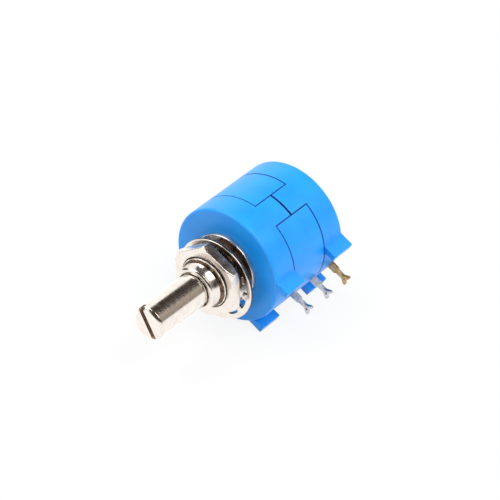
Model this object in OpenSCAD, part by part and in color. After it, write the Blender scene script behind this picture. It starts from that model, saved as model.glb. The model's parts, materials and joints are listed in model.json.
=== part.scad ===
// Ten-turn wirewound potentiometer for mounting in a panel, in millimetres. It lies on its side:
// the shaft points along -Y, and the housing rests on its round wall and on two of its four ears.
// The origin is on the shaft's axis, in the face of the bushing's shoulder that seats on the panel.

/* [Housing] */
// Outside diameter of the housing
body_d = 22.2; // [20:0.1:28]
// Length of the housing from its front face to its rear face
body_len = 19; // [15.5:0.25:26]
// Thickness of the round wall
wall = 1.6; // [1.3:0.05:2.2]
// Thickness of the front wall
front_wall = 2; // [1.6:0.1:3]
// Thickness of the rear wall
rear_wall = 1.6; // [1.3:0.1:2.4]
// Length of the front cap, without its lip and tongues
front_cap_len = 5.1; // [4:0.1:6.3]
// Length of the rear cap, without its lip and tongues
rear_cap_len = 5.2; // [4:0.1:6.3]
// Rounding of the front and rear rims
rim_r = 0.5; // [0.2:0.05:1]
// How far the lip inside each cap reaches into the centre ring
lip_len = 1.2; // [0.8:0.1:1.8]
// Thickness of the lips
lip_t = 0.85; // [0.6:0.05:1]
// Width of each tongue, as an angle about the shaft's axis
tongue_angle = 26; // [14:1:40]
// Direction of the tongues' middle, as an angle from the lugs
tongue_at = 93; // [70:1:110]

/* [Ears] */
// Distance between the outer faces of the two ears of a cap
ear_span = 12.7; // [10:0.1:15.5]
// How far the ears stand proud of the housing's radius
ear_proud = 0.75; // [0.6:0.05:2]
// Thickness of an ear
ear_t = 1.25; // [0.8:0.05:1.8]
// How far the ears stay back from the front and rear faces
ear_setback = 0.2; // [0:0.05:0.5]

/* [Bushing] */
// Outside diameter of the thread
thread_d = 9.53; // [8:0.01:12]
// Length of the bushing in front of its shoulder
bushing_len = 8.2; // [6.4:0.1:12.7]
// Diameter of the shoulder that seats on the panel
shoulder_d = 13.1; // [12:0.1:16]
// Height of the shoulder above the housing's front face
shoulder_t = 0.8; // [0.5:0.05:1.5]
// Length of the plain nose in front of the thread
nose_len = 2.1; // [1:0.1:2.6]
// How much smaller the nose is than the thread, on the radius
nose_step = 0.56; // [0.3:0.02:0.6]
// Chamfer round the nose
nose_chamfer = 0.3; // [0.1:0.05:0.35]
// Countersink in the bushing's mouth, round the shaft
mouth_chamfer = 0.15; // [0.05:0.05:0.2]
// Diameter of the neck inside the front wall
neck_d = 10.6; // [9.9:0.1:12.8]
// Width across the flats of the anchor inside the front wall
anchor_af = 12.4; // [11.2:0.1:15]
// Thickness of the anchor
anchor_t = 0.8; // [0.5:0.05:1.2]

/* [Shaft] */
// Diameter of the shaft
shaft_d = 6.35; // [5:0.01:7.62]
// Distance from the shoulder's face to the shaft's tip
shaft_reach = 20.5; // [16:0.1:32]
// Chamfer round the shaft's tip
tip_chamfer = 0.5; // [0.2:0.05:1]
// Width of the grease groove round the shaft in the bushing's mouth
grease_w = 0.6; // [0.55:0.05:1]
// Depth of the grease groove
grease_depth = 0.2; // [0.16:0.02:0.3]
// How far the grease groove shows in front of the bushing
grease_show = 0.05; // [0.02:0.01:0.1]
// Width of the screwdriver slot
slot_w = 0.9; // [0.6:0.05:1.5]
// Depth of the screwdriver slot
slot_depth = 1.3; // [0.8:0.1:2.5]
// Direction of the screwdriver slot, as an angle from the lugs
slot_at = -32; // [-90:1:90]
// Diameter of the stretch that drives the rotor
drive_d = 4.8; // [3.6:0.1:4.9]
// Depth of the flat on that stretch
drive_flat = 0.5; // [0.3:0.05:0.8]
// Width of the collar between the clip's groove and the rotor
collar_w = 0.25; // [0.15:0.05:0.4]
// Diameter of the rear journal
journal_d = 3; // [2:0.1:3.4]
// Length of the rear journal inside the rear wall
journal_len = 0.9; // [0.5:0.05:1]

/* [Nut and lock washer] */
// Width across the flats of the nut
nut_af = 12.7; // [12:0.1:16]
// Thickness of the nut
nut_t = 2; // [1.6:0.1:2.8]
// How far in from its corners the chamfer on the nut's faces starts
nut_chamfer = 0.75; // [0.4:0.05:1.2]
// Countersink of the nut's hole
nut_sink = 0.3; // [0.1:0.05:0.6]
// Direction of one of the nut's corners, as an angle from the lugs
nut_at = 1; // [0:1:59]
// Room left for the panel between the shoulder and a washer that lies against the nut
panel_room = 2.45; // [0.5:0.05:3.5]
// How far the loose washer has slid back from the nut, as a share of the room
washer_back = 0.4; // [0:0.05:0.9]
// Outside diameter of the lock washer
washer_d = 15.8; // [15:0.1:18]
// Thickness of the lock washer
washer_t = 0.6; // [0.4:0.05:1]
// Width of the lock washer's rim
washer_rim = 1; // [0.8:0.05:1.6]
// How much wider the ring of tooth tips is than the thread
washer_play = 2.45; // [0.2:0.05:2.6]
// Number of teeth
washer_teeth = 12; // [8:1:16]
// Width of a tooth
tooth_w = 1.5; // [0.8:0.05:1.6]
// Turn of the washer's top tooth away from straight up
washer_at = -7; // [-9:1:9]
// Twist of each tooth out of the washer's plane
tooth_twist = 12; // [0:1:20]

/* [Winding] */
// Number of turns of the element, and of the shaft
turns = 10; // [3:1:10]
// Gap between neighbouring turns of the element
turn_gap = 0.4; // [0.3:0.05:0.5]

/* [Rotor and carriage] */
// Gap between the rotor's drum and the inside of the coil
drum_gap = 1.45; // [1.2:0.05:2.2]
// Width of the slot along the drum
rotor_slot_w = 3; // [2.4:0.1:4]
// Thickness of the drum's two end walls
rotor_end = 0.5; // [0.4:0.05:1]
// Plastic between the shaft and the bottom of the slot
core_t = 1.5; // [1:0.1:1.8]
// Length of the carriage along the slot
carriage_len = 1.5; // [1.3:0.1:2.2]
// Width of the carriage's wings over the drum
wing_w = 4.8; // [3.6:0.1:5.6]
// Width of the contact rail
rail_w = 1.2; // [0.8:0.1:1.8]
// Thickness of the contact rail
rail_t = 0.6; // [0.4:0.05:0.8]
// Width of the wiper's leaf, as a share of the distance between the element's turns
leaf_share = 0.55; // [0.4:0.01:0.6]
// Thickness of the wiper's leaf
leaf_t = 0.15; // [0.1:0.05:0.25]

/* [Collector] */
// Outside diameter of the slip ring
ring_d = 12.4; // [11:0.1:14]
// Thickness of the slip ring
ring_t = 0.3; // [0.2:0.05:0.5]
// Thickness of the brush
brush_t = 0.25; // [0.15:0.05:0.35]
// Width of the brush
brush_w = 1.4; // [0.8:0.1:2]
// Direction of the brush, as an angle from the lugs
brush_at = -15; // [-30:1:-13]
// Room between the brush and the rear wall
brush_room = 0.3; // [0.2:0.05:0.6]

/* [Clip and thrust washer] */
// Thickness of the clip
clip_t = 0.45; // [0.3:0.05:0.7]
// Outside diameter of the clip
clip_d = 9.4; // [8.4:0.1:10.5]
// Depth of the clip's groove in the shaft
groove_depth = 0.55; // [0.3:0.05:0.6]
// Width of the gap in the clip
clip_mouth = 3; // [2:0.1:3.6]
// Outside diameter of the thrust washer
thrust_d = 10.6; // [9:0.1:12.5]
// Thickness of the thrust washer
thrust_t = 0.3; // [0.2:0.05:0.5]

/* [Lugs] */
// Distance from the housing's front face to the middle of lug 1
lug_1_at = 6.5; // [6.2:0.05:7]
// Distance from the housing's rear face to the middle of lug 2
lug_2_from_rear = 6.85; // [6.6:0.05:9.6]
// Distance from the housing's rear face to the middle of lug 3
lug_3_from_rear = 1.55; // [1.3:0.05:1.8]
// Thickness of the lugs
lug_t = 0.5; // [0.3:0.05:0.8]
// How far the lugs stand out of the housing
lug_reach = 4.4; // [3:0.1:8]
// Width of the lugs at the housing, across the shaft's axis
lug_base_w = 1.6; // [1.4:0.05:2.1]
// How far the wide base stands out of the housing
lug_base_len = 1.6; // [0.6:0.1:1.8]
// Width of the lugs' neck
lug_neck_w = 0.85; // [0.7:0.05:1.4]
// Width of the lugs' forked end
lug_head_w = 2.2; // [1.6:0.05:3]
// Length of the forked end
lug_head_len = 1.3; // [0.8:0.1:2]
// Depth of the notch in the forked end
lug_notch = 0.35; // [0.2:0.05:1]
// Thickness of the strips that join the lugs to the element and the brush
lead_t = 0.3; // [0.2:0.05:0.35]
// Width of those strips
lead_w = 1.2; // [0.8:0.1:1.5]

/* [Clearances] */
// Between a turning shaft and its hole, on the radius
run_gap = 0.03; // [0.02:0.01:0.08]
// Between round faces that are pressed or moulded together
seat_gap = 0.02; // [0.01:0.01:0.05]
// Between two pieces of the housing at a seam
seam_gap = 0.08; // [0.04:0.01:0.15]
// Between the centre ring and the rear cap, which stand a little open
rear_seam_gap = 0.14; // [0.06:0.01:0.2]
// Between the ends of two tongues that meet
tongue_gap = 0.3; // [0.1:0.05:0.5]
// Between the faces of the thrust washer, the clip and their neighbours
end_float = 0.03; // [0.02:0.01:0.08]
// Between an electrical contact and what it touches
contact_gap = 0.03; // [0.02:0.01:0.06]
// Between the end of the rear journal and the bottom of its hole
journal_room = 0.1; // [0.05:0.05:0.2]
// Between the carriage and the sides of its slot
slide_gap = 0.05; // [0.03:0.01:0.1]
// Between the carriage and the slot's ends, at the ends of its travel
stop_gap = 0.1; // [0.05:0.05:0.2]
// Between the carriage's fins and the turns that lead them
fin_gap = 0.1; // [0.08:0.01:0.13]

/* [Hidden] */
$fn = 64;

// Lengths that cutters run past the faces they cut
past = 1;

// Radii
body_r = body_d / 2;
bore_r = body_r - wall;
lip_r = bore_r + lip_t;
thread_r = thread_d / 2;
nose_r = thread_r - nose_step;
shaft_r = shaft_d / 2;
bush_bore_r = shaft_r + run_gap;
drive_r = drive_d / 2;
journal_r = journal_d / 2;

// Places along the axis, from front to rear
grease_front_z = bushing_len + grease_show;
nose_z = bushing_len - nose_len;
face_z = -shoulder_t;
front_in_z = face_z - front_wall;
front_seam_z = face_z - front_cap_len;
rear_z = face_z - body_len;
rear_in_z = rear_z + rear_wall;
rear_seam_z = rear_z + rear_cap_len;
tongue_meet_z = (front_seam_z + rear_seam_z) / 2;

thrust_front_z = front_in_z - end_float;
thrust_rear_z = thrust_front_z - thrust_t;
clip_front_z = thrust_rear_z - end_float;
clip_rear_z = clip_front_z - clip_t;
groove_front_z = clip_front_z + seat_gap;
groove_rear_z = clip_rear_z - seat_gap;
rotor_front_z = groove_rear_z - collar_w;

brush_rear_z = rear_in_z + brush_room;
brush_front_z = brush_rear_z + brush_t;
ring_rear_z = brush_front_z + contact_gap;
rotor_rear_z = ring_rear_z + ring_t;

// The carriage's travel fills the slot, and the element has one turn for each turn of the shaft
slot_front_z = rotor_front_z - rotor_end;
slot_rear_z = rotor_rear_z + rotor_end;
travel = slot_front_z - slot_rear_z - carriage_len - 2 * stop_gap;
pitch = travel / turns;
coil_front_z = slot_front_z - stop_gap - carriage_len / 2;
coil_rear_z = coil_front_z - travel;
coil_mid_z = (coil_front_z + coil_rear_z) / 2;

// The element is a round mandrel that lies against the housing's bore
mandrel_r = (pitch - turn_gap) / 2;
coil_r = bore_r - seat_gap - mandrel_r;
coil_steps = 24;
coil_sides = 6;
coil_in_r = (coil_r - mandrel_r) * cos(180 / coil_steps);

// At rest the carriage is halfway along, so it has made half of its turns
rest_at = -180 * turns;
drum_r = coil_in_r - drum_gap;
slot_floor_r = drive_r + core_t;
rail_top_r = slot_floor_r + rail_t;
wing_floor_r = drum_r + 2 * slide_gap;
fin_t = turn_gap - 2 * fin_gap;
fin_reach_r = coil_in_r + 0.8 * mandrel_r;
button_h = 0.4;
leaf_floor_r = coil_in_r - contact_gap - button_h - leaf_t;
leaf_w = leaf_share * pitch;

// Strips in shallow grooves of the housing's bore
lead_in_r = bore_r + seat_gap;
lead_out_r = lead_in_r + lead_t;
lead_half = lead_w / 2 / bore_r * 180 / PI;
brush_half = brush_w / 2 / bore_r * 180 / PI;
lug_1_z = face_z - lug_1_at;
lug_2_z = rear_z + lug_2_from_rear;
lug_3_z = rear_z + lug_3_from_rear;
lug_zs = [lug_1_z, lug_2_z, lug_3_z];

// Nut and washer: the twisted teeth stand a little out of the washer's faces
tooth_half = washer_t / 2 * cos(tooth_twist) + tooth_w / 2 * sin(tooth_twist);
nut_rear_z = panel_room + 2 * tooth_half;
washer_mid_z = panel_room * (1 - washer_back) + tooth_half;
tooth_tip_r = thread_r + washer_play / 2;

// The part lies on the round wall and on the corners of two ears
ear_half = ear_span / 2;
ear_reach = body_r + ear_proud;
ear_corner_r = norm([ear_reach, ear_half]);
roll = asin(body_r / ear_corner_r) - atan2(ear_half, ear_reach);

plastic_blue = "#3a96ea";
nickel = "#cfcac2";
tin = "#c3c0bc";
spring_bronze = "#c29a55";
winding_brown = "#7c4a2a";
rotor_white = "#e4dfd2";
carriage_black = "#2b2b2d";
steel = "#9a9a9c";

// Stands the shaft's axis along -Y, with the lugs to +X and a little down
module place() {
    rotate([0, roll, 0])
        rotate([90, 0, 0])
            children();
}

// What turns with the shaft is drawn with its slot towards +X, then turned to where it rests
module turned() {
    rotate([0, 0, rest_at])
        children();
}

module both_sides() {
    children();
    mirror([0, 1, 0])
        children();
}

// Part of a ring, between two radii, two heights and two angles
module arc_block(r0, r1, z0, z1, a0, a1) {
    rotate_extrude(angle = a1 - a0, start = a0)
        translate([r0, z0])
            square([r1 - r0, z1 - z0]);
}

// A cylinder that stands on z = 0, with its top rim rounded in four steps
module round_rim(r, h, c) {
    steps = 4;
    rotate_extrude()
        polygon([
            [0, 0],
            [r, 0],
            for (i = [0 : steps]) [r - c + c * cos(90 * i / steps), h - c + c * sin(90 * i / steps)],
            [0, h],
        ]);
}

// Two ears with flat outer faces, from z0 to z1
module ears(z0, z1) {
    root_x = sqrt(pow((bore_r + body_r) / 2, 2) - pow(ear_half - ear_t / 2, 2));
    both_sides()
        translate([root_x, ear_half - ear_t, z0])
            cube([ear_reach - root_x, ear_t, z1 - z0]);
}

// The slots for the two tongues, one on each side of the ring
module tongue_slots() {
    gap_angle = seam_gap / body_r * 180 / PI;
    both_sides()
        arc_block(lip_r, body_r + past, rear_z, face_z,
            tongue_at - tongue_angle / 2 - gap_angle, tongue_at + tongue_angle / 2 + gap_angle);
}

// What is cut away between and outside the tongues of a cap, down to its lip
module between_tongues(z0, z1) {
    near = tongue_at - tongue_angle / 2;
    far = tongue_at + tongue_angle / 2;
    arc_block(lip_r, body_r + past, z0, z1, -near, near);
    arc_block(lip_r, body_r + past, z0, z1, far, 360 - far);
}

// Slots through the wall for the lugs, and grooves in the bore for the strips
module lug_pockets() {
    cut_from_r = bore_r - wall / 4;
    groove_out_r = lead_out_r + seat_gap;
    gap_angle = 1;
    for (z = lug_zs)
        translate([cut_from_r, -lug_base_w / 2 - seat_gap, z - lug_t / 2 - seat_gap])
            cube([body_r, lug_base_w + 2 * seat_gap, lug_t + 2 * seat_gap]);
    arc_block(cut_from_r, groove_out_r, lug_1_z - lead_w / 2 - seat_gap, front_in_z,
        -lead_half - gap_angle, lead_half + gap_angle);
    arc_block(cut_from_r, groove_out_r, rear_in_z, coil_rear_z + mandrel_r + seat_gap,
        -lead_half - gap_angle, lead_half + gap_angle);
    arc_block(cut_from_r, groove_out_r, lug_2_z - lead_w / 2 - seat_gap,
        lug_2_z + lead_w / 2 + seat_gap, brush_at - brush_half - gap_angle, lead_half + gap_angle);
    arc_block(cut_from_r, groove_out_r, rear_in_z, lug_2_z + lead_w / 2 + seat_gap,
        brush_at - brush_half - gap_angle, brush_at + brush_half + gap_angle);
}

// Moulded cup with the bushing in its front wall, a lip inside its open end, and two tongues
module front_cap() {
    color(plastic_blue)
        place()
            difference() {
                union() {
                    translate([0, 0, tongue_meet_z + tongue_gap / 2])
                        round_rim(body_r, face_z - tongue_meet_z - tongue_gap / 2, rim_r);
                    ears(front_seam_z, face_z - ear_setback);
                }
                between_tongues(rear_z, front_seam_z);
                translate([0, 0, rear_z])
                    cylinder(r = bore_r, h = front_in_z - rear_z);
                translate([0, 0, rear_z])
                    cylinder(r = lip_r + seat_gap, h = front_seam_z - lip_len - rear_z);
                translate([0, 0, front_in_z - past])
                    cylinder(d = neck_d + 2 * seat_gap, h = front_wall + 2 * past);
                translate([0, 0, front_in_z - past])
                    cylinder(d = (anchor_af + 2 * seat_gap) / cos(30), h = anchor_t + past, $fn = 6);
                lug_pockets();
            }
}

// Moulded ring between the caps, with an outside slot for the tongues on each side
module centre_ring() {
    color(plastic_blue)
        place()
            difference() {
                translate([0, 0, rear_seam_z + rear_seam_gap])
                    cylinder(r = body_r, h = front_seam_z - seam_gap - rear_seam_z - rear_seam_gap);
                translate([0, 0, rear_z])
                    cylinder(r = bore_r, h = body_len);
                translate([0, 0, front_seam_z - lip_len - seam_gap])
                    cylinder(r = lip_r + seat_gap, h = lip_len + past);
                translate([0, 0, rear_seam_z - past])
                    cylinder(r = lip_r + seat_gap, h = lip_len + seam_gap + past);
                tongue_slots();
                lug_pockets();
            }
}

// Moulded cup with the rear bearing in its wall, a lip inside its open end, and two tongues
module rear_cap() {
    color(plastic_blue)
        place()
            difference() {
                union() {
                    translate([0, 0, tongue_meet_z - tongue_gap / 2])
                        mirror([0, 0, 1])
                            round_rim(body_r, tongue_meet_z - tongue_gap / 2 - rear_z, rim_r);
                    ears(rear_z + ear_setback, rear_seam_z);
                }
                between_tongues(rear_seam_z, face_z);
                translate([0, 0, rear_in_z])
                    cylinder(r = bore_r, h = body_len);
                translate([0, 0, rear_seam_z + lip_len])
                    cylinder(r = lip_r + seat_gap, h = body_len);
                translate([0, 0, rear_in_z - journal_len - journal_room])
                    cylinder(r = journal_r + run_gap, h = body_len);
                lug_pockets();
            }
}

// Turned bushing: plain nose, thread, shoulder, neck in the front wall, and six-sided anchor
module bushing() {
    color(nickel)
        place()
            difference() {
                union() {
                    translate([0, 0, face_z])
                        cylinder(r = thread_r, h = nose_z - nose_step - face_z);
                    translate([0, 0, nose_z - nose_step])
                        cylinder(r1 = thread_r, r2 = nose_r, h = nose_step);
                    translate([0, 0, nose_z])
                        cylinder(r = nose_r, h = nose_len - nose_chamfer);
                    translate([0, 0, bushing_len - nose_chamfer])
                        cylinder(r1 = nose_r, r2 = nose_r - nose_chamfer, h = nose_chamfer);
                    translate([0, 0, face_z])
                        cylinder(d = shoulder_d, h = shoulder_t);
                    translate([0, 0, front_in_z])
                        cylinder(d = neck_d, h = front_wall);
                    translate([0, 0, front_in_z])
                        cylinder(d = anchor_af / cos(30), h = anchor_t - seat_gap, $fn = 6);
                }
                translate([0, 0, front_in_z - past])
                    cylinder(r = bush_bore_r, h = bushing_len - front_in_z + 2 * past);
                translate([0, 0, bushing_len - mouth_chamfer])
                    cylinder(r1 = bush_bore_r, r2 = bush_bore_r + 2 * mouth_chamfer, h = 2 * mouth_chamfer);
            }
}

// Turned shaft: slotted tip, grooves, flatted stretch through the rotor, and rear journal
module shaft() {
    color(nickel)
        place()
            difference() {
                union() {
                    translate([0, 0, grease_front_z])
                        cylinder(r = shaft_r, h = shaft_reach - tip_chamfer - grease_front_z);
                    translate([0, 0, grease_front_z - grease_w])
                        cylinder(r = shaft_r - grease_depth, h = grease_w);
                    translate([0, 0, groove_front_z])
                        cylinder(r = shaft_r, h = grease_front_z - grease_w - groove_front_z);
                    translate([0, 0, shaft_reach - tip_chamfer])
                        cylinder(r1 = shaft_r, r2 = shaft_r - tip_chamfer, h = tip_chamfer);
                    translate([0, 0, groove_rear_z])
                        cylinder(r = shaft_r - groove_depth, h = groove_front_z - groove_rear_z);
                    translate([0, 0, rotor_front_z])
                        cylinder(r = shaft_r, h = groove_rear_z - rotor_front_z);
                    turned()
                        drive_stretch(0, ring_rear_z, rotor_front_z);
                    translate([0, 0, rear_in_z - journal_len])
                        cylinder(r = journal_r, h = ring_rear_z - rear_in_z + journal_len);
                }
                rotate([0, 0, slot_at])
                    translate([-body_r, -slot_w / 2, shaft_reach - slot_depth])
                        cube([body_d, slot_w, slot_depth + past]);
            }
}

// A round bar with a flat on the side away from the slot
module drive_stretch(gap, z0, z1) {
    difference() {
        translate([0, 0, z0])
            cylinder(r = drive_r + gap, h = z1 - z0);
        translate([-body_r, -body_r, z0 - past])
            cube([body_r - drive_r + drive_flat - gap, body_d, z1 - z0 + 2 * past]);
    }
}

// Panel nut, chamfered on both faces, with a countersunk hole
module hex_nut() {
    corner_r = nut_af / 2 / cos(30);
    face_r = corner_r - nut_chamfer;
    cone_r = corner_r + nut_sink;
    cone_h = (cone_r - face_r) * tan(30);
    color(nickel)
        place()
            translate([0, 0, nut_rear_z])
                difference() {
                    intersection() {
                        rotate([0, 0, nut_at])
                            cylinder(r = corner_r, h = nut_t, $fn = 6);
                        rotate_extrude()
                            polygon([
                                [0, 0], [face_r, 0], [cone_r, cone_h],
                                [cone_r, nut_t - cone_h], [face_r, nut_t], [0, nut_t],
                            ]);
                    }
                    translate([0, 0, -past])
                        cylinder(r = thread_r + seat_gap, h = nut_t + 2 * past);
                    translate([0, 0, nut_t - nut_sink])
                        cylinder(r1 = thread_r + seat_gap, r2 = thread_r + nut_sink, h = nut_sink);
                    translate([0, 0, nut_t])
                        cylinder(r = thread_r + nut_sink, h = past);
                }
}

// Stamped lock washer with twisted teeth inside. It hangs on the thread by its top tooth.
module lock_washer() {
    rim_in_r = washer_d / 2 - washer_rim;
    drop = washer_play / 2 - seat_gap;
    color(nickel)
        place()
            translate([drop * sin(roll), -drop * cos(roll), washer_mid_z])
                rotate([0, 0, 90 + roll + washer_at]) {
                    difference() {
                        translate([0, 0, -washer_t / 2])
                            cylinder(d = washer_d, h = washer_t);
                        translate([0, 0, -washer_t])
                            cylinder(r = rim_in_r, h = 2 * washer_t);
                    }
                    for (i = [0 : washer_teeth - 1])
                        rotate([0, 0, i * 360 / washer_teeth])
                            translate([tooth_tip_r, 0, 0])
                                rotate([tooth_twist, 0, 0])
                                    translate([0, -tooth_w / 2, -washer_t / 2])
                                        cube([rim_in_r - tooth_tip_r + washer_rim / 3, tooth_w, washer_t]);
                }
}

// Flat lug with a wide base, a neck and a forked end, from x = inner_x outwards. Its faces
// look along the shaft.
module lug(z, inner_x) {
    base_x = body_r + lug_base_len;
    tip_x = body_r + lug_reach;
    head_x = tip_x - lug_head_len;
    shoulder_x = base_x + (lug_base_w - lug_neck_w) / 4;
    half = [
        [inner_x, lug_base_w / 2],
        [base_x, lug_base_w / 2],
        [shoulder_x, lug_neck_w / 2],
        [head_x, lug_neck_w / 2],
        [tip_x - lug_head_len / 3, lug_head_w / 2],
        [tip_x, lug_head_w / 2 - lug_t / 4],
        [tip_x - lug_notch, 0],
    ];
    other = [for (i = [len(half) - 2 : -1 : 0]) [half[i][0], -half[i][1]]];
    translate([0, 0, z - lug_t / 2])
        linear_extrude(lug_t)
            polygon(concat(half, other));
}

module terminal_1() {
    color(tin)
        place()
            lug(lug_1_z, lead_out_r + seat_gap);
}

// Lug 2 has a foot that runs round the bore to the brush
module terminal_2() {
    color(tin)
        place()
            union() {
                lug(lug_2_z, lead_out_r - lead_t / 2);
                arc_block(lead_in_r, lead_out_r, lug_2_z - lead_w / 2, lug_2_z + lead_w / 2,
                    brush_at - brush_half, lead_half);
            }
}

module terminal_3() {
    color(tin)
        place()
            lug(lug_3_z, lead_out_r + seat_gap);
}

// Strip from lug 1 to the front end of the element
module lead_1() {
    color(tin)
        place()
            arc_block(lead_in_r, lead_out_r, lug_1_z - lead_w / 2, coil_front_z + mandrel_r,
                -lead_half, lead_half);
}

// Strip from lug 3 to the rear end of the element
module lead_3() {
    color(tin)
        place()
            arc_block(lead_in_r, lead_out_r, rear_in_z + seat_gap, coil_rear_z + mandrel_r,
                -lead_half, lead_half);
}

// The wound mandrel, as a tube swept along a helix. Its two ends are at the lugs.
module resistance_element() {
    count = turns * coil_steps;
    points = [
        for (i = [0 : count], j = [0 : coil_sides - 1])
            let (a = -i * 360 / coil_steps, b = j * 360 / coil_sides, r = coil_r + mandrel_r * cos(b))
                [r * cos(a), r * sin(a), coil_front_z - travel * i / count + mandrel_r * sin(b)]
    ];
    sides = [
        for (i = [0 : count - 1], j = [0 : coil_sides - 1])
            let (k = (j + 1) % coil_sides, p = i * coil_sides, q = p + coil_sides)
                each [[p + j, p + k, q + k], [p + j, q + k, q + j]]
    ];
    front_end = [for (j = [coil_sides - 1 : -1 : 0]) j];
    rear_end = [for (j = [0 : coil_sides - 1]) count * coil_sides + j];
    color(winding_brown)
        place()
            polyhedron(points, concat(sides, [front_end, rear_end]), convexity = 10);
}

// Moulded drum on the shaft's flatted stretch, with a closed slot for the carriage
module rotor() {
    color(rotor_white)
        place()
            turned()
                difference() {
                    translate([0, 0, rotor_rear_z])
                        cylinder(r = drum_r, h = rotor_front_z - rotor_rear_z);
                    drive_stretch(seat_gap, rotor_rear_z - past, rotor_front_z + past);
                    translate([slot_floor_r, -rotor_slot_w / 2, slot_rear_z])
                        cube([body_r, rotor_slot_w, slot_front_z - slot_rear_z]);
                    translate([slot_floor_r, -rail_w / 2 - seat_gap, rotor_rear_z - past])
                        cube([rail_t + seat_gap, rail_w + 2 * seat_gap, rotor_end + 2 * past]);
                }
}

// Bar along the bottom of the slot, which ends against the slip ring
module contact_rail() {
    color(spring_bronze)
        place()
            turned()
                translate([slot_floor_r, -rail_w / 2, rotor_rear_z])
                    cube([rail_t, rail_w, slot_front_z - rotor_rear_z]);
}

// Moulded slider: a block in the slot, wings over the drum, and two fins between the turns
module wiper_carriage() {
    block_w = rotor_slot_w - 2 * slide_gap;
    block_floor_r = rail_top_r + contact_gap;
    color(carriage_black)
        place()
            turned()
                translate([0, 0, coil_mid_z]) {
                    translate([block_floor_r, -block_w / 2, -carriage_len / 2])
                        cube([leaf_floor_r - block_floor_r, block_w, carriage_len]);
                    translate([wing_floor_r, -wing_w / 2, -carriage_len / 2])
                        cube([leaf_floor_r - wing_floor_r, wing_w, carriage_len]);
                    for (s = [-1, 1])
                        translate([wing_floor_r, -leaf_w, s * pitch / 2 - fin_t / 2])
                            cube([fin_reach_r - wing_floor_r, 2 * leaf_w, fin_t]);
                }
}

// Leaf on top of the carriage, with a button that runs on the element
module wiper_contact() {
    color(spring_bronze)
        place()
            turned()
                translate([leaf_floor_r, 0, coil_mid_z]) {
                    translate([0, -wing_w / 2 + leaf_w / 2, -leaf_w / 2])
                        cube([leaf_t, wing_w / 2 + leaf_w / 2, leaf_w]);
                    rotate([0, 90, 0])
                        cylinder(d = leaf_w * 0.8, h = leaf_t + button_h, $fn = 32);
                }
}

// Slip ring on the rotor's rear face
module collector_ring() {
    color(spring_bronze)
        place()
            difference() {
                translate([0, 0, ring_rear_z])
                    cylinder(d = ring_d, h = ring_t);
                translate([0, 0, ring_rear_z - past])
                    cylinder(r = slot_floor_r + rail_t / 3, h = ring_t + 2 * past);
            }
}

// Strip along the bore from lug 2's foot, with a finger that bears on the slip ring
module collector_brush() {
    finger_in_r = slot_floor_r + rail_t;
    color(spring_bronze)
        place()
            union() {
                arc_block(lead_in_r, lead_out_r, brush_rear_z, lug_2_z - lead_w / 2,
                    brush_at - brush_half, brush_at + brush_half);
                rotate([0, 0, brush_at])
                    translate([finger_in_r, -brush_w / 2, brush_rear_z])
                        cube([lead_in_r + lead_t / 2 - finger_in_r, brush_w, brush_t]);
            }
}

// Flat washer between the bushing and the clip
module thrust_washer() {
    color(spring_bronze)
        place()
            difference() {
                translate([0, 0, thrust_rear_z])
                    cylinder(d = thrust_d, h = thrust_t);
                translate([0, 0, thrust_rear_z - past])
                    cylinder(r = shaft_r + run_gap, h = thrust_t + 2 * past);
            }
}

// Open snap ring in the shaft's groove
module retaining_clip() {
    color(steel)
        place()
            difference() {
                translate([0, 0, clip_rear_z])
                    cylinder(d = clip_d, h = clip_t);
                translate([0, 0, clip_rear_z - past])
                    cylinder(r = shaft_r - groove_depth + seat_gap, h = clip_t + 2 * past);
                translate([-body_r, -clip_mouth / 2, clip_rear_z - past])
                    cube([body_r, clip_mouth, clip_t + 2 * past]);
            }
}

front_cap();
centre_ring();
rear_cap();
bushing();
shaft();
hex_nut();
lock_washer();
terminal_1();
terminal_2();
terminal_3();
lead_1();
lead_3();
resistance_element();
rotor();
contact_rail();
wiper_carriage();
wiper_contact();
collector_ring();
collector_brush();
thrust_washer();
retaining_clip();
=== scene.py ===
# Ten-turn panel potentiometer: a moulded housing in three pieces, a bushing with its nut and
# lock washer, a slotted shaft, three solder lugs, and the winding and wiper sealed inside.
import json
import math

import bmesh
import bpy
from mathutils import Matrix, Vector
from mathutils.geometry import tessellate_polygon


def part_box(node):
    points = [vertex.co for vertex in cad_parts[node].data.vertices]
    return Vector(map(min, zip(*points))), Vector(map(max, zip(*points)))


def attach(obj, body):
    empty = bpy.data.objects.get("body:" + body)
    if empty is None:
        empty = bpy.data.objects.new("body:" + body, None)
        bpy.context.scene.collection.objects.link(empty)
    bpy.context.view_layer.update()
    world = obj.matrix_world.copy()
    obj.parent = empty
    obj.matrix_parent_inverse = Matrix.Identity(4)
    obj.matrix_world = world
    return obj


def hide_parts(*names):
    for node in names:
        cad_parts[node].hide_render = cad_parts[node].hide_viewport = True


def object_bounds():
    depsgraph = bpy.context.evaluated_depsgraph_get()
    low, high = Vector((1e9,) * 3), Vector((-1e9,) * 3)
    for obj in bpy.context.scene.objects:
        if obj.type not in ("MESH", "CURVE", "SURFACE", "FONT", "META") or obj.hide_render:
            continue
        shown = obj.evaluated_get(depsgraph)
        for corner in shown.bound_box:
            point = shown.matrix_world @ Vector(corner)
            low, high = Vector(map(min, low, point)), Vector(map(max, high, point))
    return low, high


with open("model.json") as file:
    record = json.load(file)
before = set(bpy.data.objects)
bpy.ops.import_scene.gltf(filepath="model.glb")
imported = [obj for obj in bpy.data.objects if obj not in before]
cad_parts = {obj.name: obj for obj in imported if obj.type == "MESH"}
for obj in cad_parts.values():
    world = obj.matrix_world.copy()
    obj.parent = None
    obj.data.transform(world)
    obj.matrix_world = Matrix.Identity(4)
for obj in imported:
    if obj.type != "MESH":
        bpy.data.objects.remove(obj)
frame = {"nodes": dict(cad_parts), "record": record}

cad_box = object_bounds()


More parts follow.
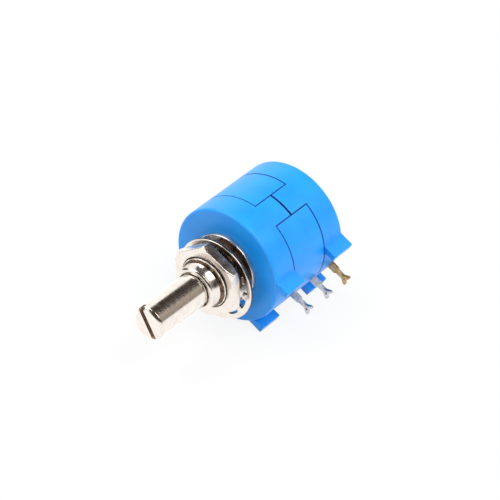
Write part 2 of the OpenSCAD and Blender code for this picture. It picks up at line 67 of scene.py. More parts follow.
# ---------------------------------------------------------------- Housing
# Three mouldings in a blue thermoplastic polyester: a front cap, a ring and a rear cap. They
# push together until the caps' tongues meet in the ring's slots, and every edge has a radius.
MM = 0.001
BODY_R, REAR_FACE = 11.1, -19.8
MOULDED_EDGE = 0.08
SEAM_DEPTH, SEAMS_REAR, SEAMS_FRONT = 1.2, REAR_FACE + 1, -2

# A corner this near the outside has its edges rounded, a face this near it isn't in a seam, and a
# face that looks outward this squarely is the wall's own.
CORNER_NEAR, FACE_NEAR, SQUARELY = 0.05, 0.005, 0.95

# Every piece is made upright, in millimetres: X towards the lugs, Z along the shaft to its
# tip, 0 in the face of the bushing's shoulder. The part then lies down as the frame says.
mounts = {m["name"]: m for m in frame["record"]["mounts"]}
to_tip = Vector(mounts["shaft"]["axis"])
to_lugs = Vector(mounts["lug_1"]["axis"]).normalized()
lie_down = Matrix((to_lugs, to_tip.cross(to_lugs), to_tip)).transposed().to_4x4() @ Matrix.Scale(MM, 4)


def srgb(code):
    """An sRGB hex colour as the linear one that a shader takes."""
    parts = [int(code[i:i + 2], 16) / 255 for i in (1, 3, 5)]
    return (*[c / 12.92 if c <= 0.04045 else ((c + 0.055) / 1.055) ** 2.4 for c in parts], 1)


def add(material, kind, inputs=(), drives=None, **settings):
    """Adds a node with its settings: each input is a value or a socket, and it may drive one socket."""
    made = material.node_tree.nodes.new("ShaderNode" + kind)
    for name, value in settings.items():
        setattr(made, name, value)
    for name, value in dict(inputs).items():
        if isinstance(value, bpy.types.NodeSocket):
            material.node_tree.links.new(value, made.inputs[name])
        else:
            made.inputs[name].default_value = value
    if drives is not None:
        material.node_tree.links.new(made.outputs[0], drives)
    return made


def new_material(name, **inputs):
    """A material and the sockets of its Principled shader, which patterns drive afterwards."""
    made = bpy.data.materials.new(name)
    made.use_nodes = True
    made.node_tree.nodes.clear()
    shader = add(made, "BsdfPrincipled", inputs)
    add(made, "OutputMaterial", {"Surface": shader.outputs[0]})
    return made, shader.inputs


def two_colours(ramp, low, high, start=0.35, end=0.65):
    """Sets a colour ramp's two ends."""
    first, last = ramp.color_ramp.elements
    first.position, first.color = start, srgb(low)
    last.position, last.color = end, srgb(high)


# A glossy glass-filled polyester: an even, strong blue, with flow marks a few millimetres long
# that shift the colour and the gloss a little, and the fine grain of a spark-eroded tool.
polyester, look = new_material("moulded_polyester")
place = add(polyester, "TexCoord").outputs["Object"]
flow = add(polyester, "TexNoise", {"Vector": place, "Scale": 1 / (4 * MM), "Detail": 4.0}).outputs[0]
two_colours(add(polyester, "ValToRGB", {0: flow}, look["Base Color"]), "#0291F0", "#0A99F5")
add(polyester, "MapRange", {"Value": flow, "To Min": 0.39, "To Max": 0.46}, look["Roughness"])
grain = add(polyester, "TexNoise", {"Vector": place, "Scale": 1 / (0.15 * MM), "Detail": 2.0}).outputs[0]
add(polyester, "Bump", {"Height": grain, "Strength": 0.15, "Distance": 0.02 * MM}, look["Normal"])

# Painted shade: the seams' inner faces get a dark, dull copy of the blue, standing in for the shade inside
# the joints.
seam_shade, look = new_material("seam_shaded_polyester", Roughness=0.8)
place = add(seam_shade, "TexCoord").outputs["Object"]
seam_mottle = add(seam_shade, "TexNoise", {"Vector": place, "Scale": 1 / (0.6 * MM), "Detail": 3.0}).outputs[0]
two_colours(add(seam_shade, "ValToRGB", {0: seam_mottle}, look["Base Color"]), "#0A3370", "#0B50A0")
add(seam_shade, "Bump", {"Height": seam_mottle, "Strength": 0.3, "Distance": 0.02 * MM}, look["Normal"])


def upright(point):
    """A point of the frame in the upright part's millimetres."""
    return lie_down.inverted() @ point


def whole_faces(bm):
    """Joins the triangles that make up each flat face."""
    bmesh.ops.dissolve_limit(bm, angle_limit=math.radians(0.6), verts=bm.verts, edges=bm.edges)


def welded(name):
    """A CAD node's shape with its triangles joined into whole faces."""
    bm = bmesh.new()
    bm.from_mesh(frame["nodes"][name].data)
    bmesh.ops.remove_doubles(bm, verts=bm.verts, dist=0.001 * MM)
    whole_faces(bm)
    return bm


def round_edges(bm, radius, where, sharper_than=35):
    """Rounds the sharp edges whose two ends are both where the test says, in the upright part."""
    limit = math.radians(sharper_than)
    inside = {v: where(upright(v.co)) for v in bm.verts}
    chosen = [e for e in bm.edges if e.calc_face_angle(0) > limit and all(inside[v] for v in e.verts)]
    bmesh.ops.bevel(bm, geom=chosen, offset=radius * MM, offset_type="OFFSET", segments=2,
                    profile=0.5, affect="EDGES", clamp_overlap=False)


def new_piece(name, bm, materials, body, stands_for, sharp=50):
    """Makes a piece from a mesh, gives it its materials, and puts it in a CAD node's place."""
    mesh = bpy.data.meshes.new(name)
    bmesh.ops.recalc_face_normals(bm, faces=bm.faces)
    bm.to_mesh(mesh)
    bm.free()
    mesh.shade_smooth()
    mesh.set_sharp_from_angle(angle=math.radians(sharp))
    for material in materials:
        mesh.materials.append(material)
    piece = bpy.data.objects.new(name, mesh)
    bpy.context.scene.collection.objects.link(piece)
    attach(piece, body)
    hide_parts(stands_for)
    return piece


def even_normals(piece):
    """Shades flat faces flat right up to their rounded edges."""
    piece.modifiers.new("even_normals", "WEIGHTED_NORMAL").keep_sharp = True


# A seam's faces are those inside the wall, between the caps' ends, that look along it or round it.
for name in ("front_cap", "centre_ring", "rear_cap"):
    shell = welded(name)
    round_edges(shell, MOULDED_EDGE, lambda p: math.hypot(p.x, p.y) > BODY_R - CORNER_NEAR)
    for face in shell.faces:
        middle = upright(face.calc_center_median())
        facing = (lie_down.to_3x3().inverted() @ face.normal).normalized()
        r = math.hypot(middle.x, middle.y)
        outward = facing.dot(Vector((middle.x, middle.y, 0)) / r)
        in_wall = BODY_R - SEAM_DEPTH < r < BODY_R - FACE_NEAR and SEAMS_REAR < middle.z < SEAMS_FRONT
        # Faces in a seam take the second material, the painted seam shade.
        face.material_index = int(in_wall and abs(outward) < SQUARELY)
    even_normals(new_piece(name + "_moulding", shell, [polyester, seam_shade],
                           "housing", name))


# ---------------------------------------------------------------- Bushing
# Turned from brass bar and nickel plated: a plain nose, a 3/8-32 thread, the shoulder that
# seats on the panel, and a six-sided anchor that the front wall is moulded over.
STEPS = 96
THREAD_R, THREAD_DEPTH, THREAD_PITCH, THREAD_FADE = 4.765, 0.487, 25.4 / 32, 0.5
NOSE_R, NOSE_LEN = 4.205, 2.1
SHOULDER_R, SHOULDER_T, SHOULDER_EDGE = 6.55, 0.8, 0.12
NECK_R, ANCHOR_AF, ANCHOR_T = 5.3, 12.4, 0.8
BORE_R, BORE_EDGE = 3.205, 0.15

# Of the way from a crest's middle to the groove's, CREST is flat and FLANK slopes.
CREST, FLANK, ROWS_A_TURN = 0.16, 0.7, 16

# The nose's rounded chamfer: how far each of its rings is in from the side and back from the end.
NOSE_EDGE = ((0, 0.35), (0.03, 0.28), (0.25, 0.06), (0.32, 0))

# Two faces that would share a plane stand this far apart, and a face this near a plane is in it.
CLEAR, IN_PLANE = 0.02, 0.01

# Bright nickel over turned brass: a warm mirror, with the cutting tool's fine rings still in it.
nickel, look = new_material("nickel_plate", Metallic=1.0)
place = add(nickel, "TexCoord").outputs["Object"]
axes = add(nickel, "SeparateXYZ", {0: place})
square = [add(nickel, "Math", {0: axes.outputs[i], 1: 2.0}, operation="POWER") for i in (0, 2)]
total = add(nickel, "Math", {0: square[0].outputs[0], 1: square[1].outputs[0]})
radius = add(nickel, "Math", {0: total.outputs[0]}, operation="SQRT")
turning = add(nickel, "CombineXYZ", {0: radius.outputs[0], 1: axes.outputs[1], 2: 0.0}).outputs[0]
rings = add(nickel, "TexNoise", {"Vector": turning, "Scale": 1 / (0.25 * MM), "Detail": 3.0}).outputs[0]
handling = add(nickel, "TexNoise", {"Vector": place, "Scale": 1 / (1.5 * MM), "Detail": 5.0}).outputs[0]
two_colours(add(nickel, "ValToRGB", {0: handling}, look["Base Color"]), "#D7CFC7", "#DED7CF")
add(nickel, "MapRange", {"Value": handling, "From Min": 0.35, "From Max": 0.7,
                         "To Min": 0.18, "To Max": 0.28}, look["Roughness"])
add(nickel, "Bump", {"Height": rings, "Strength": 0.12, "Distance": 0.01 * MM}, look["Normal"])

# Painted shade: the thread and the bore get a dark brown copy of the nickel, standing in for the shade in
# the grooves and the bore.
thread_shade, look = new_material("shaded_thread", Metallic=1.0)
place = add(thread_shade, "TexCoord").outputs["Object"]
thread_mottle = add(thread_shade, "TexNoise", {"Vector": place, "Scale": 1 / (0.8 * MM), "Detail": 4.0}).outputs[0]
two_colours(add(thread_shade, "ValToRGB", {0: thread_mottle}, look["Base Color"]), "#43352A", "#7D6855")
add(thread_shade, "MapRange", {"Value": thread_mottle, "To Min": 0.2, "To Max": 0.4}, look["Roughness"])
add(thread_shade, "Bump", {"Height": thread_mottle, "Strength": 0.2, "Distance": 0.02 * MM}, look["Normal"])


def span(name):
    """Where a CAD node starts and ends along the shaft, in mm."""
    low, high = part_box(name)
    return -high.y / MM, -low.y / MM


def ring(radius, height, start=0.0):
    """A ring of points, whose radius and height are numbers or functions of the angle from its start."""
    angles = [2 * math.pi * i / STEPS for i in range(STEPS)]
    r = radius if callable(radius) else lambda a: radius
    z = height if callable(height) else lambda a: height
    return [Vector((r(a) * math.cos(a + start), r(a) * math.sin(a + start), z(a))) for a in angles]


def skin(rings):
    """Joins each ring of points to the next, and the last to the first."""
    bm = bmesh.new()
    rows = [[bm.verts.new(lie_down @ p) for p in points] for points in rings]
    for low, high in zip(rows, rows[1:] + rows[:1]):
        for i in range(len(low)):
            j = (i + 1) % len(low)
            bm.faces.new((low[i], low[j], high[j], high[i]))
    bmesh.ops.remove_doubles(bm, verts=bm.verts, dist=0.0005 * MM)
    return bm


def six_sided(across_flats):
    """The radius of a hexagon with a corner at angle 0."""
    return lambda a: across_flats / 2 / math.cos(a % (math.pi / 3) - math.pi / 6)


def thread(bottom, top):
    """Rings of a right-hand thread that fades in above the shoulder and ends in a 45 degree cone."""
    rows = []
    z = bottom
    while z < top:
        def radius(a, z=z):
            to_crest = abs((z / THREAD_PITCH - a / (2 * math.pi)) % 1 - 0.5) * 2
            cut = min(max((to_crest - CREST) / FLANK, 0), 1) * min(1, (z - bottom) / THREAD_FADE)
            return min(THREAD_R - THREAD_DEPTH * cut, NOSE_R + top - z)
        rows.append(ring(radius, z))
        z += THREAD_PITCH / ROWS_A_TURN
    return rows


bushing_rear, nose_end = span("bushing")
nose_start = nose_end - NOSE_LEN
anchor_front = bushing_rear + ANCHOR_T - CLEAR
bushing = skin([
    ring(BORE_R, bushing_rear),
    ring(six_sided(ANCHOR_AF), bushing_rear), ring(six_sided(ANCHOR_AF), anchor_front),
    ring(NECK_R, anchor_front), ring(NECK_R, -SHOULDER_T),
    ring(SHOULDER_R, -SHOULDER_T), ring(SHOULDER_R, -SHOULDER_EDGE),
    ring(SHOULDER_R - SHOULDER_EDGE / 3, -SHOULDER_EDGE / 3), ring(SHOULDER_R - SHOULDER_EDGE, 0),
    ring(THREAD_R, 0), *thread(CLEAR, nose_start), ring(NOSE_R, nose_start),
    *[ring(NOSE_R - inward, nose_end - back) for inward, back in NOSE_EDGE],
    ring(BORE_R + BORE_EDGE, nose_end), ring(BORE_R, nose_end - BORE_EDGE),
])

# The painted thread shade covers the bore and the thread's grooves, and the crests too where the nut hides
# them.
CREST_DEPTH, NUT_HIDES = 0.15, 0.4
behind_nut_face = span("hex_nut")[1] - NUT_HIDES
for face in bushing.faces:
    middle = upright(face.calc_center_median())
    r = math.hypot(middle.x, middle.y)
    shaded_r = THREAD_R - CREST_DEPTH if middle.z > behind_nut_face else THREAD_R + IN_PLANE
    in_thread = IN_PLANE < middle.z < nose_start and r < shaded_r
    face.material_index = int(r < BORE_R + BORE_EDGE or in_thread)
even_normals(new_piece("bushing_turned", bushing, [nickel, thread_shade], "housing", "bushing"))


# ---------------------------------------------------------------- Panel nut
# Turned from six-sided brass bar and nickel plated. The corners are chamfered at 30 degrees on
# both faces, the hole is countersunk, and every edge is broken by the barrel polish.
NUT_AF, NUT_AT, NUT_CHAMFER, NUT_EDGE = 12.7, math.radians(1), math.radians(30), 0.12
NUT_FACE_R, NUT_BORE_R, NUT_SINK = 6.582, 4.785, 0.28
nut_rear, nut_front = span("hex_nut")
nut_side = six_sided(NUT_AF)


def nut_face(a):
    """The radius of the nut's flat face, which the chamfer cuts short at the corners."""
    return min(nut_side(a), NUT_FACE_R)


def nut_drop(a):
    """How far the chamfer has fallen where it meets the nut's side."""
    return (nut_side(a) - nut_face(a)) * math.tan(NUT_CHAMFER)


nut = skin([
    ring(NUT_BORE_R, nut_rear, NUT_AT), ring(nut_face, nut_rear, NUT_AT),
    ring(nut_side, lambda a: nut_rear + nut_drop(a), NUT_AT),
    ring(nut_side, lambda a: nut_front - nut_drop(a), NUT_AT), ring(nut_face, nut_front, NUT_AT),
    ring(NUT_BORE_R + NUT_SINK, nut_front, NUT_AT), ring(NUT_BORE_R, nut_front - NUT_SINK, NUT_AT),
])
round_edges(nut, NUT_EDGE, lambda p: math.hypot(p.x, p.y) > NUT_BORE_R + 2 * NUT_SINK, sharper_than=20)
even_normals(new_piece("nut_turned", nut, [nickel], "housing", "hex_nut"))


# ---------------------------------------------------------------- Lock washer
# Stamped from spring steel, barrel polished and nickel plated: a flat rim with twelve teeth
# inside it, each twisted out of the plane. It hangs loose on the thread by its top teeth.
WASHER_R, RIM_IN_R, RIM_STEP, WASHER_T, WASHER_AT = 7.9, 6.9, 0.3, 0.6, math.radians(-7)
TEETH, TOOTH_W, TOOTH_TWIST = 12, 1.5, math.radians(12)
POLISHED_EDGE = 0.12

# Rows of points across a tooth, from root to tip: their radius, and the share of the twist there.
TOOTH_ROWS = ((6.76, 0.35), (6.62, 0.75), (6.48, 1), (6.25, 1), (5.99, 1))

# The press leaves the cut edges torn, so the plating is dull and dark there.
sheared, look = new_material("sheared_edge", Metallic=1.0)
place = add(sheared, "TexCoord").outputs["Object"]
across_cut = add(sheared, "Mapping", {"Vector": place, "Scale": (1.0, 0.2, 1.0)}).outputs[0]
tears = add(sheared, "TexNoise", {"Vector": across_cut, "Scale": 1 / (0.15 * MM), "Detail": 3.0}).outputs[0]
two_colours(add(sheared, "ValToRGB", {0: tears}, look["Base Color"]), "#3C332A", "#6E6257")
add(sheared, "MapRange", {"Value": tears, "To Min": 0.3, "To Max": 0.5}, look["Roughness"])
add(sheared, "Bump", {"Height": tears, "Strength": 0.4, "Distance": 0.02 * MM}, look["Normal"])

# The teeth are counted from the top of the washer as it hangs. Columns of points cross each
# tooth at shares from -1 to 1 of its half width, and the gap after it at shares from 1 to 3.
sheet = bmesh.new()
washer_low, washer_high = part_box("lock_washer")
centre = upright((washer_low + washer_high) / 2)
top = upright(Vector((0, 0, MM))).normalized()
turn = Matrix.Rotation(math.atan2(top.y, top.x) + WASHER_AT, 4, "Z")
half_tooth = math.asin(TOOTH_W / 2 / RIM_IN_R)
in_tooth, in_gap = (-1, -0.5, 0, 0.5, 1), (1.5, 2, 2.5)
columns = [(2 * math.pi * t / TEETH, s) for t in range(TEETH) for s in in_tooth + in_gap]


def column_angle(tooth, s):
    """The angle of a column of points, from its tooth's own angle and its share."""
    if s <= 1:
        return tooth + math.asin(s * TOOTH_W / 2 / RIM_IN_R)
    return tooth + half_tooth + (s - 1) / 2 * (2 * math.pi / TEETH - 2 * half_tooth)


def sheet_point(x, y, z=0.0):
    """A point of the washer's middle plane, from its own centre."""
    return sheet.verts.new(lie_down @ (centre + turn @ Vector((x, y, z))))


rim = []
for r in (WASHER_R, WASHER_R - RIM_STEP, RIM_IN_R + RIM_STEP, RIM_IN_R):
    angles = [column_angle(tooth, s) for tooth, s in columns]
    rim.append([sheet_point(r * math.cos(a), r * math.sin(a)) for a in angles])
for outer, inner in zip(rim, rim[1:]):
    for i in range(len(columns)):
        j = (i + 1) % len(columns)
        sheet.faces.new((outer[i], outer[j], inner[j], inner[i]))
for tooth in range(TEETH):
    angle = 2 * math.pi * tooth / TEETH
    out, side = Vector((math.cos(angle), math.sin(angle), 0)), Vector((-math.sin(angle), math.cos(angle), 0))
    first = tooth * len(in_tooth + in_gap)
    root = rim[-1][first:first + len(in_tooth)]
    for r, share in TOOTH_ROWS:
        twist = TOOTH_TWIST * share
        row = []
        for s in in_tooth:
            y = s * TOOTH_W / 2
            p = out * r + side * y * math.cos(twist)
            row.append(sheet_point(p.x, p.y, y * math.sin(twist)))
        for k in range(len(row) - 1):
            sheet.faces.new((root[k], root[k + 1], row[k + 1], row[k]))
        root = row

# The sheet gets its thickness, torn at the cut edges, and the barrel rounds and polishes its corners.
washer = new_piece("washer_stamped", sheet, [nickel, sheared],
                   "housing", "lock_washer", sharp=30)
plate = washer.modifiers.new("thickness", "SOLIDIFY")
plate.thickness, plate.offset, plate.use_even_offset = WASHER_T * MM, 0, True
plate.material_offset_rim = 1
edge = washer.modifiers.new("polished_edges", "BEVEL")
edge.width, edge.segments, edge.use_clamp_overlap = POLISHED_EDGE * MM, 3, False
edge.limit_method, edge.angle_limit = "ANGLE", math.radians(45)
edge.material = 0
even_normals(washer)


# ---------------------------------------------------------------- Shaft
# Turned and centreless ground from brass bar, nickel plated, with a screwdriver slot sawn
# across the tip. It turns in the bushing, held by the clip inside the housing.
SLOT_W, SLOT_DEPTH, SLOT_AT, TIP_EDGE = 0.9, 1.3, math.radians(-32), 0.06

# Grinding leaves fine hoops round the bar, so its reflections are softer than the bushing's.
ground, look = new_material("ground_nickel", Metallic=1.0)
place = add(ground, "TexCoord").outputs["Object"]
stretched = add(ground, "Mapping", {"Vector": place, "Scale": (0.15, 1.0, 0.15)}).outputs[0]
hoops = add(ground, "TexNoise", {"Vector": stretched, "Scale": 1 / (0.2 * MM), "Detail": 4.0}).outputs[0]
handling = add(ground, "TexNoise", {"Vector": place, "Scale": 1 / (1.2 * MM), "Detail": 5.0}).outputs[0]
two_colours(add(ground, "ValToRGB", {0: handling}, look["Base Color"]), "#D7CFC7", "#E1DAD2")
add(ground, "MapRange", {"Value": hoops, "From Min": 0.3, "From Max": 0.7,
                         "To Min": 0.12, "To Max": 0.26}, look["Roughness"])
add(ground, "Bump", {"Height": hoops, "Strength": 0.15, "Distance": 0.01 * MM}, look["Normal"])

# The slot is sawn, with the saw's marks and dirt left in it.
sawn, look = new_material("sawn_slot", Metallic=1.0)
place = add(sawn, "TexCoord").outputs["Object"]
marks = add(sawn, "TexNoise", {"Vector": place, "Scale": 1 / (0.2 * MM), "Detail": 4.0}).outputs[0]
two_colours(add(sawn, "ValToRGB", {0: marks}, look["Base Color"]), "#A38E7B", "#D0C0AE")
add(sawn, "MapRange", {"Value": marks, "To Min": 0.35, "To Max": 0.6}, look["Roughness"])
add(sawn, "Bump", {"Height": marks, "Strength": 0.4, "Distance": 0.02 * MM}, look["Normal"])

tip = span("shaft")[1]
slot_floor = tip - SLOT_DEPTH
bar = welded("shaft")
round_edges(bar, TIP_EDGE, lambda p: p.z > slot_floor - CLEAR, sharper_than=25)
for face in bar.faces:
    p = upright(face.calc_center_median())
    from_middle = abs(p.x * -math.sin(SLOT_AT) + p.y * math.cos(SLOT_AT))
    in_slot = from_middle < SLOT_W / 2 + IN_PLANE and slot_floor - CLEAR < p.z < tip - TIP_EDGE - IN_PLANE
    face.material_index = int(in_slot)
even_normals(new_piece("shaft_turned", bar, [ground, sawn], "rotor", "shaft"))


# ---------------------------------------------------------------- Solder lugs
# Stamped from brass strip and hot tinned: a wide base in the housing's wall, a neck, and a
# pierced fishtail that holds the wire. Lug 2 has a foot that runs round the bore to the brush.
LUG_T, LUG_REACH, LUG_BASE_W, LUG_BASE_LEN, LUG_NECK_W, LUG_TAPER = 0.5, 4.4, 1.6, 1.6, 0.85, 0.22
LUG_HEAD_W, LUG_HEAD_LEN, LUG_EDGE = 2.2, 1.3, 0.05
LUG_HOLE_R, LUG_HOLE_AT, HOLE_STEPS = 0.25, 0.75, 16
FOOT_IN_R, FOOT_OUT_R, FOOT_W, FOOT_STEPS = 9.52, 9.82, 1.2, 8
FOOT_FROM, FOOT_TO = math.radians(-19.2), math.radians(3.6)

# The fishtail's side, and then its notch: how far each point is past the neck, and the share of
# the head's half width there.
FISHTAIL = ((0.35, 0.6), (0.7, 0.87), (0.95, 0.98), (1.1, 1), (1.24, 0.95), (1.3, 0.85), (1.26, 0.7),
            (1.055, 0.28), (0.95, 0))


def tinned(name, thin, thick):
    """Dull tin over brass: the dip leaves it thick in some places and thin in others."""
    tin, look = new_material(name, Metallic=1.0)
    place = add(tin, "TexCoord").outputs["Object"]
    dip = add(tin, "TexNoise", {"Vector": place, "Scale": 1 / (0.9 * MM), "Detail": 5.0}).outputs[0]
    two_colours(add(tin, "ValToRGB", {0: dip}, look["Base Color"]), thin, thick)
    add(tin, "MapRange", {"Value": dip, "To Min": 0.35, "To Max": 0.55}, look["Roughness"])
    add(tin, "Bump", {"Height": dip, "Strength": 0.3, "Distance": 0.03 * MM}, look["Normal"])
    return tin


tin_dip = tinned("dipped_tin", "#A9ABB0", "#CFCFD3")
thin_dip = tinned("thin_dipped_tin", "#A5834F", "#C4B08C")


def stamped_lug(name, inner_x):
    """A lug's plate, from its outline and its pierced hole."""
    middle = sum(span(name)) / 2
    base_x, tip_x = BODY_R + LUG_BASE_LEN, BODY_R + LUG_REACH
    neck_end = tip_x - LUG_HEAD_LEN
    half = [(inner_x, LUG_BASE_W / 2), (base_x, LUG_BASE_W / 2),
            (base_x + LUG_TAPER, LUG_NECK_W / 2), (neck_end, LUG_NECK_W / 2),
            *[(neck_end + x, share * LUG_HEAD_W / 2) for x, share in FISHTAIL]]
    outline = half + [(x, -w) for x, w in reversed(half[:-1])]
    hole = [(tip_x - LUG_HOLE_AT + LUG_HOLE_R * math.cos(a), -LUG_HOLE_R * math.sin(a))
            for a in [2 * math.pi * i / HOLE_STEPS for i in range(HOLE_STEPS)]]
    loops = [[Vector((x, w, 0)) for x, w in loop] for loop in (outline, hole)]
    bm = bmesh.new()
    sides = []
    for z in (middle - LUG_T / 2, middle + LUG_T / 2):
        points = [bm.verts.new(lie_down @ Vector((p.x, p.y, z))) for loop in loops for p in loop]
        for triangle in tessellate_polygon(loops):
            bm.faces.new([points[i] for i in triangle])
        sides.append(points)
    start = 0
    for loop in loops:
        for i in range(len(loop)):
            a, b = start + i, start + (i + 1) % len(loop)
            bm.faces.new((sides[0][a], sides[0][b], sides[1][b], sides[1][a]))
        start += len(loop)
    whole_faces(bm)
    round_edges(bm, LUG_EDGE, lambda p: p.x > BODY_R, sharper_than=60)
    return bm


for number, material in ((1, tin_dip), (3, thin_dip)):
    name = f"terminal_{number}"
    lug = stamped_lug(name, FOOT_OUT_R + CLEAR)
    even_normals(new_piece(f"lug_{number}_stamped", lug, [material], "housing", name))

lug = stamped_lug("terminal_2", (FOOT_IN_R + FOOT_OUT_R) / 2)
middle = sum(span("terminal_2")) / 2
section = ((FOOT_IN_R, -0.5), (FOOT_OUT_R, -0.5), (FOOT_OUT_R, 0.5), (FOOT_IN_R, 0.5))
rows = []
for i in range(FOOT_STEPS + 1):
    a = FOOT_FROM + (FOOT_TO - FOOT_FROM) * i / FOOT_STEPS
    rows.append([lug.verts.new(lie_down @ Vector((r * math.cos(a), r * math.sin(a), middle + z * FOOT_W)))
                 for r, z in section])
for near, far in zip(rows, rows[1:]):
    for k in range(4):
        lug.faces.new((near[k], near[(k + 1) % 4], far[(k + 1) % 4], far[k]))
lug.faces.new(rows[0])
lug.faces.new(rows[-1])
even_normals(new_piece("lug_2_stamped", lug, [tin_dip], "housing", "terminal_2"))


def finish_node(name, material):
    """Gives a CAD node its material."""
    mesh = frame["nodes"][name].data
    mesh.materials.clear()
    mesh.materials.append(material)


# The strips that join lugs 1 and 3 to the winding's ends are blanked and dipped with the lugs.
for name in ("lead_1", "lead_3"):
    finish_node(name, tin_dip)


# ---------------------------------------------------------------- Winding
# Fine resistance wire wound close on an enamelled copper rod, and the rod coiled to ten turns
# against the bore. The wire is 0.05 mm, which can't show, so its strands are drawn 1.26 mm apart.
STRANDS_A_TURN = 46.5

# Copper-nickel wire: a warm brown metal, with a painted highlight on top of each strand and painted shade
# between them, where it is also rougher.
winding, look = new_material("resistance_wire", Metallic=1.0)
place = add(winding, "TexCoord").outputs["Object"]
axes = add(winding, "SeparateXYZ", {0: place})
angle = add(winding, "Math", {0: axes.outputs[0], 1: axes.outputs[2]}, operation="ARCTAN2")
turns = add(winding, "Math", {0: angle.outputs[0], 1: STRANDS_A_TURN}, operation="MULTIPLY")
strands = add(winding, "Math", {0: turns.outputs[0]}, operation="SINE").outputs[0]
# Painted highlight and shade: the colour runs from dark between the strands to bright on their tops.
two_colours(add(winding, "ValToRGB", {0: strands}, look["Base Color"]), "#6A3E22", "#C59468", 0.0, 0.9)
add(winding, "MapRange", {"Value": strands, "From Min": -1.0, "To Min": 0.45, "To Max": 0.25},
    look["Roughness"])
add(winding, "Bump", {"Height": strands, "Strength": 0.6, "Distance": 0.03 * MM}, look["Normal"])
finish_node("resistance_element", winding)


# ---------------------------------------------------------------- Rotor and carriage
# A drum moulded in natural acetal carries a slider moulded in black nylon, which climbs one
# turn of the winding for each turn of the shaft. Both have soft flow marks and a fine grain.
for name, node, low, high, rough in (("natural_acetal", "rotor", "#DDD6C6", "#EAE4D6", 0.4),
                                     ("black_nylon", "wiper_carriage", "#0B0B0D", "#17171A", 0.5)):
    plastic, look = new_material(name)
    place = add(plastic, "TexCoord").outputs["Object"]
    flow = add(plastic, "TexNoise", {"Vector": place, "Scale": 1 / (2.5 * MM), "Detail": 4.0}).outputs[0]
    two_colours(add(plastic, "ValToRGB", {0: flow}, look["Base Color"]), low, high)
    add(plastic, "MapRange", {"Value": flow, "To Min": rough - 0.08, "To Max": rough + 0.08},
        look["Roughness"])
    grain = add(plastic, "TexNoise", {"Vector": place, "Scale": 1 / (0.15 * MM), "Detail": 2.0}).outputs[0]
    add(plastic, "Bump", {"Height": grain, "Strength": 0.2, "Distance": 0.02 * MM}, look["Normal"])
    finish_node(node, plastic)


# ---------------------------------------------------------------- Contacts, clip and thrust washer
# Blanked from rolled strip, so fine lines run along them: the slip ring, brush, rail, wiper leaf
# and thrust washer in phosphor bronze, a warm gold with faint stains, and the clip in carbon
# spring steel, which its heat treatment left blue.
CONTACTS = ("contact_rail", "collector_ring", "collector_brush", "wiper_contact", "thrust_washer")
for name, nodes, low, high, rough in (
        ("phosphor_bronze", CONTACTS, "#B98A4C", "#D9B078", 0.25),
        ("blued_spring_steel", ("retaining_clip",), "#3B4048", "#6A6E78", 0.32)):
    strip, look = new_material(name, Metallic=1.0)
    place = add(strip, "TexCoord").outputs["Object"]
    rolled = add(strip, "Mapping", {"Vector": place, "Scale": (1.0, 1.0, 0.08)}).outputs[0]
    lines = add(strip, "TexNoise", {"Vector": rolled, "Scale": 1 / (0.1 * MM), "Detail": 3.0}).outputs[0]
    stain = add(strip, "TexNoise", {"Vector": place, "Scale": 1 / (2 * MM), "Detail": 4.0}).outputs[0]
    two_colours(add(strip, "ValToRGB", {0: stain}, look["Base Color"]), low, high)
    add(strip, "MapRange", {"Value": lines, "To Min": rough - 0.08, "To Max": rough + 0.12},
        look["Roughness"])
    add(strip, "Bump", {"Height": lines, "Strength": 0.2, "Distance": 0.01 * MM}, look["Normal"])
    for node in nodes:
        finish_node(node, strip)


# ---------------------------------------------------------------- Studio
# The part lies on a matt white table, between two soft lamps, in a room that is dark above.
# The camera sees the table as plain white with the part's shadow in it, and reflections see it whiter.
TABLE_HALF, WHITE_SHARE, WHITER_IN_GLOSS = 2.0, 0.88, 0.4
corners = [(x * TABLE_HALF, y * TABLE_HALF, cad_box[0].z) for x, y in ((-1, -1), (1, -1), (1, 1), (-1, 1))]
floor_mesh = bpy.data.meshes.new("table")
floor_mesh.from_pydata(corners, [], [(0, 1, 2, 3)])
floor = bpy.data.objects.new("table", floor_mesh)
bpy.context.scene.collection.objects.link(floor)
table = bpy.data.materials.new("matt_white_table")
table.use_nodes = True
table.node_tree.nodes.clear()
ray = add(table, "LightPath").outputs
seen = add(table, "Math", {0: ray["Is Camera Ray"], 1: ray["Is Glossy Ray"]}, operation="MAXIMUM")
seen = add(table, "Math", {0: seen.outputs[0], 1: ray["Is Transmission Ray"]}, operation="MAXIMUM")
share = add(table, "Math", {0: seen.outputs[0], 1: WHITE_SHARE}, operation="MULTIPLY")
matt = add(table, "BsdfDiffuse", {"Color": srgb("#E4E4E4")})
bright = add(table, "Math", {0: ray["Is Glossy Ray"], 1: WHITER_IN_GLOSS, 2: 1.0}, operation="MULTIPLY_ADD")
glow = add(table, "Emission", {"Color": srgb("#FFFFFF"), "Strength": bright.outputs[0]})
mixed = add(table, "MixShader", {0: share.outputs[0], 1: matt.outputs[0], 2: glow.outputs[0]})
add(table, "OutputMaterial", {"Surface": mixed.outputs[0]})
floor_mesh.materials.append(table)

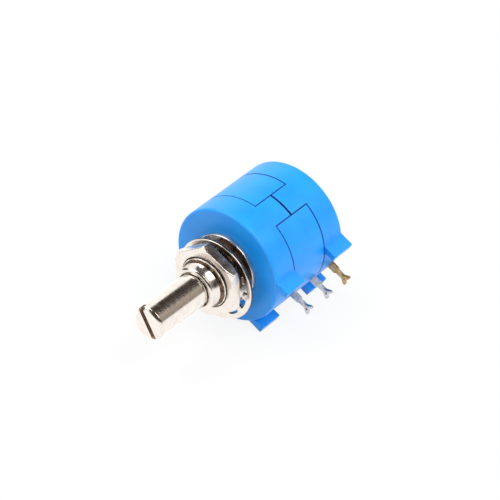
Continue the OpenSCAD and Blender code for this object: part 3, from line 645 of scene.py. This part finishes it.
# In reflections the room is white below and to the left, and dark and warm overhead and to the
# right. A dim grey wall stands behind on the right, and a dark stand far on the left.
OVERHEAD, WALL, STAND = (0.41, 0.0, 0.912), (0.649, 0.633, 0.42), (-0.965, -0.231, 0.121)
ROOM_STRENGTH, FILL_STRENGTH = 1.4, 0.6
world = bpy.data.worlds.new("studio")
bpy.context.scene.world = world
world.use_nodes = True
world.node_tree.nodes.clear()
ray = add(world, "LightPath").outputs
direction = add(world, "TexCoord").outputs["Generated"]
to_overhead = add(world, "VectorMath", {0: direction, 1: OVERHEAD}, operation="DOT_PRODUCT").outputs["Value"]
room = add(world, "ValToRGB", {0: to_overhead})
two_colours(room, "#FFFFFF", "#352C25", 0.37, 0.43)
to_wall = add(world, "VectorMath", {0: direction, 1: WALL}, operation="DOT_PRODUCT").outputs["Value"]
wall = add(world, "ValToRGB", {0: to_wall})
two_colours(wall, "#000000", "#9A9084", 0.90, 0.99)
to_stand = add(world, "VectorMath", {0: direction, 1: STAND}, operation="DOT_PRODUCT").outputs["Value"]
stand = add(world, "ValToRGB", {0: to_stand})
two_colours(stand, "#FFFFFF", "#352C25", 0.93, 0.96)

# In a colour mix, socket 0 is the share, 6 and 7 are the two colours, and output 2 is the result.
with_wall = add(world, "Mix", {0: 1.0, 6: room.outputs[0], 7: wall.outputs[0]},
                data_type="RGBA", blend_type="LIGHTEN")
with_stand = add(world, "Mix", {0: 1.0, 6: with_wall.outputs[2], 7: stand.outputs[0]},
                 data_type="RGBA", blend_type="DARKEN")
reflected = add(world, "Background", {"Color": with_stand.outputs[2], "Strength": ROOM_STRENGTH})
fill = add(world, "Background", {"Color": srgb("#FFFFFF"), "Strength": FILL_STRENGTH})
sky = add(world, "Background", {"Color": srgb("#FFFFFF"), "Strength": 1.0})
lit = add(world, "MixShader", {0: ray["Is Glossy Ray"], 1: fill.outputs[0], 2: reflected.outputs[0]})
both = add(world, "MixShader", {0: ray["Is Camera Ray"], 1: lit.outputs[0], 2: sky.outputs[0]})
add(world, "OutputWorld", {"Surface": both.outputs[0]})

LAMP_SIZE = 0.6
for name, spot, watts in (("window_side", (0.5, 0.1, 0.8), 5.5), ("wall_side", (-0.5, -0.15, 0.8), 5.0)):
    light = bpy.data.lights.new(name, "AREA")
    light.shape, light.size, light.energy = "SQUARE", LAMP_SIZE, watts
    lamp = bpy.data.objects.new(name, light)
    lamp.location = spot
    lamp.rotation_euler = (-Vector(spot)).to_track_quat("-Z", "Y").to_euler()
    bpy.context.scene.collection.objects.link(lamp)


# ---------------------------------------------------------------- Camera
# It stands 0.44 m away, above the part and to its front right, and looks down at the shaft's end
# through a long lens, so there is little perspective.
CAMERA_AT = (0.21508, -0.27144, 0.26397)
RIGHT, UP, BACK = (0.7850, 0.6192, 0.0146), (-0.3810, 0.4642, 0.7996), (0.4883, -0.6333, 0.6004)
camera_data = bpy.data.cameras.new("camera")
camera_data.lens, camera_data.sensor_width = 180, 36
camera_data.clip_start, camera_data.clip_end = 0.02, 20
camera = bpy.data.objects.new("camera", camera_data)
camera.matrix_world = Matrix.Translation(CAMERA_AT) @ Matrix((RIGHT, UP, BACK)).transposed().to_4x4()
bpy.context.scene.collection.objects.link(camera)
bpy.context.scene.camera = camera
bpy.context.scene.view_settings.view_transform = "Standard"
